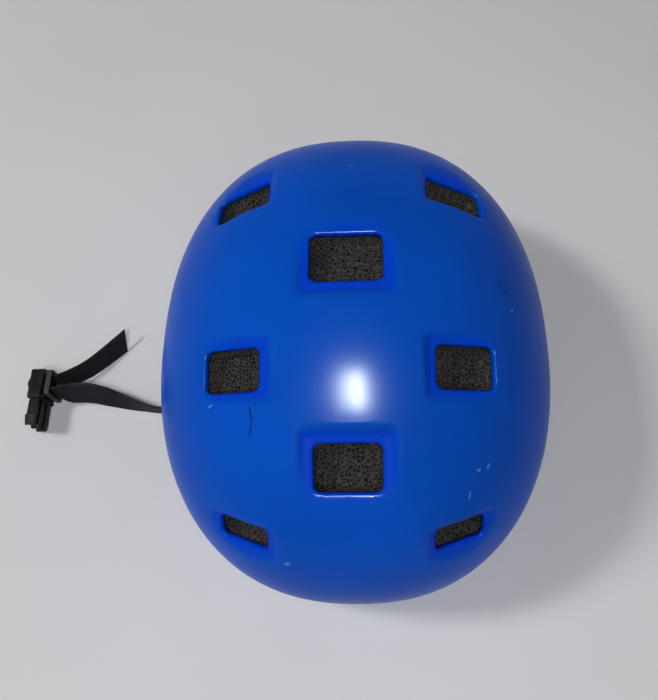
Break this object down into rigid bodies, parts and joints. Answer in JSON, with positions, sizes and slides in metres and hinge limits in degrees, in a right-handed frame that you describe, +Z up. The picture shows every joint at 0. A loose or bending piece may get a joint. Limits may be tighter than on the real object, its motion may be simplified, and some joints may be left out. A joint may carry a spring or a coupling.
{
  "type": "cycling helmet",
  "caption": "Child's hard-shell bowl helmet with dished rectangular vents over a foam liner, webbing chin strap with side-release buckle, and a rear fit dial.",
  "frame": {"origin": "centre of the helmet's footprint, on the plane that its rim rests on", "axes": "+Z up through the crown, -Y to the front, X from the wearer's right ear to the left ear seen from the front"},
  "size_m": [0.3165, 0.2626, 0.15],
  "materials": {
    "shell_plastic": "semi-gloss blue moulded shell with light scuffs",
    "liner_foam": "charcoal expanded bead foam",
    "trim_rubber": "satin black edge trim",
    "pad_fabric": "brushed knit over soft foam",
    "hook_tape": "hook tape",
    "rivet_steel": "nickel-plated steel",
    "webbing": "ribbed black polypropylene webbing",
    "keeper_rubber": "soft dark ring",
    "buckle_plastic": "black acetal with moulded faces",
    "dial_plastic": "dark grey moulded nylon",
    "pinion_nylon": "natural nylon",
    "band_plastic": "flexible black polypropylene"
  },
  "bodies": {
    "helmet": {"outer_shell": "shell_plastic", "foam_liner": "liner_foam", "rim_trim": "trim_rubber", "brow_pad": "pad_fabric", "crown_pad": "pad_fabric", "left_side_pad": "pad_fabric", "right_side_pad": "pad_fabric", "nape_pad": "pad_fabric", "hook_patches": "hook_tape", "strap_rivets": "rivet_steel", "rivet_washers": "rivet_steel", "left_front_strap": "webbing", "left_rear_strap": "webbing", "right_front_strap": "webbing", "right_rear_strap": "webbing", "left_strap_divider": "buckle_plastic", "right_strap_divider": "buckle_plastic", "left_chin_strap": "webbing", "right_chin_strap": "webbing", "strap_keeper": "keeper_rubber", "buckle_male_frame": "buckle_plastic", "buckle_female": "buckle_plastic", "dial_housing": "dial_plastic", "ratchet_ring": "rivet_steel", "band_clips": "dial_plastic", "cradle_hanger": "band_plastic", "hanger_pin": "dial_plastic"},
    "dial": {"dial_knob": "dial_plastic", "dial_pinion": "pinion_nylon"},
    "left_band": {"left_fit_band": "band_plastic"},
    "right_band": {"right_fit_band": "band_plastic"},
    "upper_prong": {"buckle_upper_prong": "buckle_plastic"},
    "lower_prong": {"buckle_lower_prong": "buckle_plastic"}
  },
  "joints": [
    {"name": "dial_turn", "type": "hinge", "parent": "helmet", "child": "dial", "pos_m": [0, 0.1, 0.019], "axis": [0, 1, 0], "range_deg": [-180, 180]},
    {"name": "left_band_draw", "type": "hinge", "parent": "helmet", "child": "left_band", "pos_m": [0, 0.0145, 0.019], "axis": [0, 0, 1], "range_deg": [-11, 11]},
    {"name": "right_band_draw", "type": "hinge", "parent": "helmet", "child": "right_band", "pos_m": [0, 0.0145, 0.019], "axis": [0, 0, 1], "range_deg": [-11, 11]},
    {"name": "upper_prong_press", "type": "hinge", "parent": "helmet", "child": "upper_prong", "pos_m": [-0.2025, -0.0091, 0.0178], "axis": [1, 0, 0], "range_deg": [0, 8], "stiffness_Nm_per_rad": 0.05},
    {"name": "lower_prong_press", "type": "hinge", "parent": "helmet", "child": "lower_prong", "pos_m": [-0.2025, -0.0091, 0.003], "axis": [1, 0, 0], "range_deg": [-8, 0], "stiffness_Nm_per_rad": 0.05}
  ],
  "couplings": [
    {"joint": "left_band_draw", "follows": "dial_turn", "ratio": -0.060976},
    {"joint": "right_band_draw", "follows": "dial_turn", "ratio": 0.060976}
  ]
}
